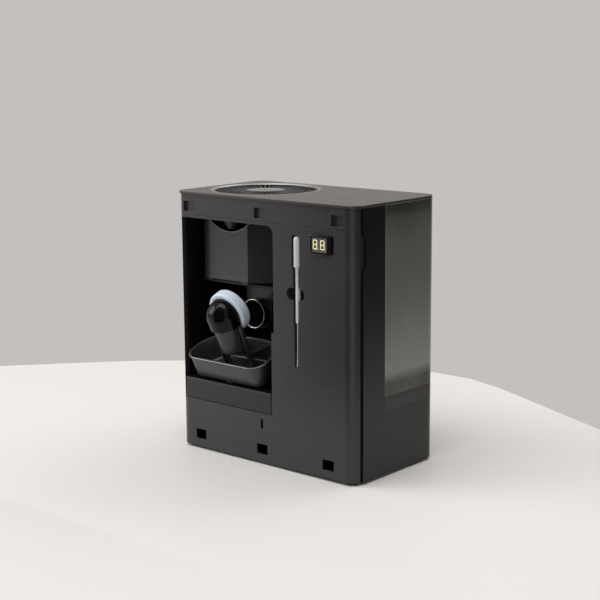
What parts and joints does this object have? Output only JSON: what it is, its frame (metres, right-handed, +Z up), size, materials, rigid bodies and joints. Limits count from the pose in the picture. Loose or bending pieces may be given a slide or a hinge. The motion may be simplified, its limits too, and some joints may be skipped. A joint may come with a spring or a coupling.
{
  "type": "countertop distiller",
  "caption": "Countertop steam distiller with its front cover off: tipped boiling pan and steam elbow, steam port, drip nozzle over a scooped cup, top fan, display, pipette and side water tank.",
  "frame": {"origin": "centre of the footprint on the surface the machine stands on, under its anti-slip mat", "axes": "+Z up, +X to the right seen from the front, -Y out of the front face with the bay opening"},
  "size_m": [0.28, 0.1724, 0.32],
  "materials": {
    "front_plastic": "satin",
    "shell_plastic": "satin",
    "top_plastic": "satin",
    "bay_plastic": "matte",
    "tray_plastic": "satin",
    "duct_plastic": "satin",
    "port_steel": "polished",
    "pan_coating": "non-stick coated",
    "head_gloss": "glossy",
    "seal_silicone": "soft matte",
    "cup_plastic": "satin gloss",
    "pipette_clear": "translucent",
    "ring_chrome": "satin chrome",
    "fan_plastic": "satin",
    "motor_metal": "satin",
    "coil_metal": "satin",
    "button_satin": "satin",
    "mark_ink": "printed",
    "bezel_gloss": "glossy",
    "window_grey": "glossy",
    "digit_glow": "lit",
    "tank_smoke": "smoked clear",
    "valve_silicone": "soft matte",
    "board_green": "satin",
    "mat_rubber": "matte",
    "base_plastic": "matte"
  },
  "bodies": {
    "housing": {"front_top_band": "front_plastic", "front_lower_panel": "front_plastic", "front_surround": "front_plastic", "pipette_well": "front_plastic", "left_shell": "shell_plastic", "right_shell": "shell_plastic", "back_panel": "shell_plastic", "power_inlet": "shell_plastic", "top_plate": "top_plastic", "bay_liner": "bay_plastic", "bay_ceiling": "bay_plastic", "deck_plate": "bay_plastic", "cup_shelf": "bay_plastic", "groove_strips": "bay_plastic", "tank_divider": "bay_plastic", "tank_seat": "tray_plastic", "duct_housing": "duct_plastic", "drip_nozzle": "duct_plastic", "port_tube": "port_steel", "hot_plate": "port_steel", "steam_riser": "port_steel", "fan_ring": "ring_chrome", "fan_grille": "fan_plastic", "fan_shroud": "fan_plastic", "fan_motor": "motor_metal", "feed_pump": "motor_metal", "heater_block": "motor_metal", "panel_screws": "motor_metal", "condenser_coil": "coil_metal", "button_collar": "button_satin", "touch_marks": "mark_ink", "display_bezel": "bezel_gloss", "display_window": "window_grey", "display_digits": "digit_glow", "feed_tube": "valve_silicone", "control_board": "board_green", "power_board": "board_green", "base_mat": "mat_rubber", "base_plate": "base_plastic"},
    "fan_impeller": {"impeller": "fan_plastic"},
    "cup": {"receiver_cup": "cup_plastic"},
    "tray": {"spill_tray": "tray_plastic"},
    "boiler": {"boiling_pan": "pan_coating", "splash_cover": "pan_coating", "elbow_shell": "pan_coating", "elbow_flange": "pan_coating", "elbow_head": "head_gloss", "seal_ring": "seal_silicone"},
    "pipette_body": {"pipette": "pipette_clear"},
    "tank": {"tank_base": "tray_plastic", "tank_body": "tank_smoke"},
    "tank_cover": {"tank_lid": "top_plastic", "lid_clips": "fan_plastic"},
    "valve": {"tank_valve": "valve_silicone"},
    "button": {"power_button": "button_satin"}
  },
  "joints": [
    {"name": "fan_spin", "type": "hinge", "parent": "housing", "child": "fan_impeller", "pos_m": [-0.062, 0.002, 0.308], "axis": [0, 0, 1], "continuous": true},
    {"name": "cup_slide", "type": "slide", "parent": "housing", "child": "cup", "axis": [0, -1, 0], "range_m": [0, 0.1]},
    {"name": "tray_slide", "type": "slide", "parent": "housing", "child": "tray", "axis": [0, -1, 0], "range_m": [0, 0.125]},
    {"name": "boiler_tip", "type": "hinge", "parent": "tray", "child": "boiler", "pos_m": [-0.0645, -0.069, 0.0895], "axis": [1, 0, 0], "range_deg": [-23.5, 6]},
    {"name": "pipette_pull", "type": "slide", "parent": "housing", "child": "pipette_body", "axis": [0, -1, 0], "range_m": [0, 0.025]},
    {"name": "tank_lift", "type": "slide", "parent": "housing", "child": "tank", "axis": [0, 0, 1], "range_m": [0, 0.245]},
    {"name": "tank_lid_lift", "type": "slide", "parent": "tank", "child": "tank_cover", "axis": [0, 0, 1], "range_m": [0, 0.02]},
    {"name": "tank_valve_push", "type": "slide", "parent": "tank", "child": "valve", "axis": [0, 0, 1], "range_m": [0, 0.003], "stiffness_N_per_m": 150},
    {"name": "power_press", "type": "slide", "parent": "housing", "child": "button", "axis": [0, 0, -1], "range_m": [0, 0.0012], "stiffness_N_per_m": 400}
  ]
}
